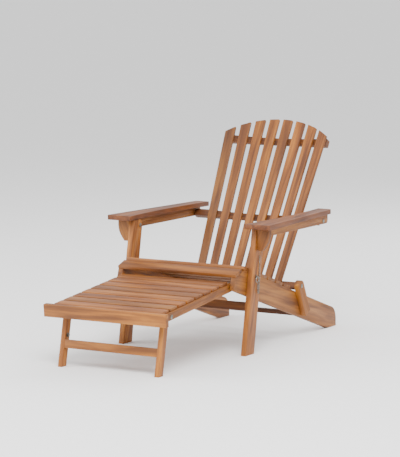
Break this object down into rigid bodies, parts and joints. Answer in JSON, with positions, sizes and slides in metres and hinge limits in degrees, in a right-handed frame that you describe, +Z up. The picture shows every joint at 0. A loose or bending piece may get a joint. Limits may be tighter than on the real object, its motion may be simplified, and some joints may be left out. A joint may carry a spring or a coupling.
{
  "type": "adirondack chair",
  "caption": "Slatted wooden garden chair with a fanned reclining back, wide flat arms, folding frame with pull-out lock pins and a pull-out slatted footrest on folding legs.",
  "frame": {"origin": "on the ground, at the middle of the bounding box with the footrest pulled out", "axes": "+Z up, the chair faces -Y, +X is to the right of someone who looks at its front"},
  "size_m": [0.762, 1.4702, 0.8871],
  "materials": {
    "frame_wood": "satin oiled",
    "slat_wood": "satin oiled",
    "arm_wood": "satin oiled",
    "rail_wood": "satin oiled",
    "steel": "zinc plated"
  },
  "bodies": {
    "arms": {"arm_left": "arm_wood", "arm_pivot_bolt_left": "steel", "arm_pivot_bolt_right": "steel", "arm_rail_left": "frame_wood", "arm_rail_right": "frame_wood", "arm_right": "arm_wood", "corbel_left": "frame_wood", "corbel_right": "frame_wood"},
    "base": {"back_pivot_bolt_left": "steel", "back_pivot_bolt_right": "steel", "back_strut_left": "frame_wood", "back_strut_right": "frame_wood", "front_cross_rail": "rail_wood", "rear_cross_rail": "rail_wood", "seat_front_slat": "slat_wood", "seat_slat_1": "slat_wood", "seat_slat_2": "slat_wood", "seat_slat_3": "slat_wood", "seat_slat_4": "slat_wood", "seat_slat_5": "slat_wood", "seat_slat_6": "slat_wood", "stringer_left": "frame_wood", "stringer_right": "frame_wood"},
    "back": {"back_slat_1": "slat_wood", "back_slat_2": "slat_wood", "back_slat_3": "slat_wood", "back_slat_4": "slat_wood", "back_slat_5": "slat_wood", "back_slat_6": "slat_wood", "back_slat_7": "slat_wood", "back_slat_8": "slat_wood", "lower_back_rail": "rail_wood", "middle_back_rail": "rail_wood", "upper_back_rail": "rail_wood"},
    "footrest": {"footrest_apron": "frame_wood", "footrest_leg_bolt_left": "steel", "footrest_leg_bolt_right": "steel", "footrest_rear_rail": "rail_wood", "footrest_side_rail_left": "frame_wood", "footrest_side_rail_right": "frame_wood", "footrest_slat_1": "slat_wood", "footrest_slat_2": "slat_wood", "footrest_slat_3": "slat_wood", "footrest_slat_4": "slat_wood", "footrest_slat_5": "slat_wood", "footrest_slat_6": "slat_wood", "footrest_slat_7": "slat_wood", "footrest_slat_8": "slat_wood"},
    "axle": {"footrest_axle": "steel"},
    "footrest_legs": {"footrest_leg_left": "frame_wood", "footrest_leg_right": "frame_wood", "footrest_stretcher": "frame_wood"},
    "front_legs": {"front_leg_left": "frame_wood", "front_leg_right": "frame_wood", "leg_pivot_bolt_left": "steel", "leg_pivot_bolt_right": "steel"},
    "lock_pin_left": {"lock_pin_left": "steel"},
    "lock_pin_right": {"lock_pin_right": "steel"}
  },
  "joints": [
    {"name": "back_fold", "type": "hinge", "parent": "base", "child": "back", "pos_m": [0, 0.34171, 0.22283], "axis": [1, 0, 0], "range_deg": [0, 90]},
    {"name": "arm_fold", "type": "hinge", "parent": "back", "child": "arms", "pos_m": [0, 0.49598, 0.48202], "axis": [1, 0, 0], "range_deg": [-120.01, 0]},
    {"name": "leg_fold", "type": "hinge", "parent": "arms", "child": "front_legs", "pos_m": [0, -0.00534, 0.481], "axis": [1, 0, 0], "range_deg": [0, 92.01]},
    {"name": "lock_pin_right_pull", "type": "slide", "parent": "front_legs", "child": "lock_pin_right", "axis": [1, 0, 0], "range_m": [0, 0.035]},
    {"name": "lock_pin_left_pull", "type": "slide", "parent": "front_legs", "child": "lock_pin_left", "axis": [-1, 0, 0], "range_m": [0, 0.035]},
    {"name": "footrest_slide", "type": "slide", "parent": "base", "child": "axle", "axis": [0, 0.9743, -0.2253], "range_m": [0, 0.5132]},
    {"name": "footrest_tilt", "type": "hinge", "parent": "axle", "child": "footrest", "pos_m": [0, -0.16034, 0.2796], "axis": [1, 0, 0], "range_deg": [-19.6, 0]},
    {"name": "footrest_leg_fold", "type": "hinge", "parent": "footrest", "child": "footrest_legs", "pos_m": [0, -0.64334, 0.2268], "axis": [1, 0, 0], "range_deg": [0, 107.5]}
  ],
  "couplings": [
    {"joint": "arm_fold", "follows": "back_fold", "ratio": -1.3333},
    {"joint": "leg_fold", "follows": "back_fold", "ratio": 1.0222},
    {"joint": "footrest_tilt", "follows": "footrest_slide", "rad_per_m": -0.66317}
  ]
}
